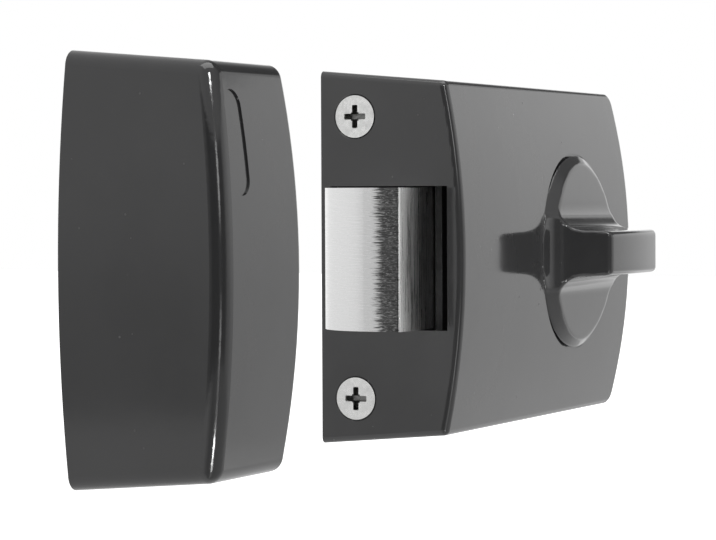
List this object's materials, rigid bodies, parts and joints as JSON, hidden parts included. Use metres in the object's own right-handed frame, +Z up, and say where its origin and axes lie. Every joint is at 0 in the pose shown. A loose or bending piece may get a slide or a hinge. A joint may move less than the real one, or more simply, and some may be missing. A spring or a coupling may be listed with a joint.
{
  "type": "rim box lock",
  "caption": "Surface rim night latch with a bowed black case, round turn knob with a grip bar, sprung bevelled bolt with a deadlock inside, and a matching box keeper.",
  "frame": {"origin": "axis of the turn knob, hub and cylinder hole, on the face of the door", "axes": "+X along the door away from its edge, -Y out of the door into the room, +Z up"},
  "size_m": [0.1862, 0.0421, 0.071],
  "materials": {
    "case_enamel": "gloss black enamel on a zinc die casting",
    "knob_enamel": "gloss black enamel on a zinc die casting",
    "keeper_enamel": "gloss black enamel on a zinc die casting",
    "bright_screws": "bright zinc plate",
    "bolt_steel": "drawn bar, brushed and chromed",
    "plate_zinc": "pressed steel, zinc plated",
    "inner_steel": "stamped or turned steel, bright",
    "spring_steel": "hard drawn spring wire",
    "nylon": "natural nylon",
    "driver_brass": "turned brass"
  },
  "bodies": {
    "lock_case": {"case_shell": "case_enamel", "mounting_plate": "plate_zinc", "forend_screws": "bright_screws", "back_cover": "plate_zinc", "cover_screws": "bright_screws", "bolt_spring": "spring_steel", "spring_rod": "inner_steel", "bolt_guide": "plate_zinc", "guide_screws": "bright_screws", "knob_bush": "nylon", "lever_pivot": "inner_steel", "lever_washer": "spring_steel"},
    "bolt": {"latch_bolt": "bolt_steel", "bolt_tail": "inner_steel", "bolt_pins": "inner_steel", "tail_stop_pin": "inner_steel"},
    "turn_knob": {"knob": "knob_enamel", "drive_hub": "inner_steel", "knob_screw": "bright_screws", "hub_washer": "inner_steel"},
    "key_driver": {"tail_driver": "driver_brass"},
    "lever": {"deadlock_lever": "inner_steel"},
    "keeper": {"keeper_shell": "keeper_enamel", "keeper_plate": "plate_zinc", "keeper_screws": "bright_screws"}
  },
  "joints": [
    {"name": "knob_turn", "type": "hinge", "parent": "lock_case", "child": "turn_knob", "pos_m": [0, 0, 0], "axis": [0, 1, 0], "range_deg": [0, 60]},
    {"name": "bolt_slide", "type": "slide", "parent": "lock_case", "child": "bolt", "axis": [1, 0, 0], "range_m": [0, 0.0125], "stiffness_N_per_m": 400, "springref_m": -0.01, "deforming": ["bolt_spring"]},
    {"name": "driver_turn", "type": "hinge", "parent": "lock_case", "child": "key_driver", "pos_m": [0, -0.004, 0], "axis": [0, 1, 0], "range_deg": [-40, 0]},
    {"name": "lever_turn", "type": "hinge", "parent": "lock_case", "child": "lever", "pos_m": [-0.002, -0.0045, 0.021], "axis": [0, 1, 0], "range_deg": [-16, 0]},
    {"name": "keeper_slide", "type": "slide", "parent": "lock_case", "child": "keeper", "axis": [1, 0, 0], "range_m": [0, 0.06625]}
  ],
  "couplings": [
    {"joint": "knob_turn", "follows": "bolt_slide", "rad_per_m": 83.77},
    {"joint": "lever_turn", "follows": "driver_turn", "ratio": 0.4}
  ]
}
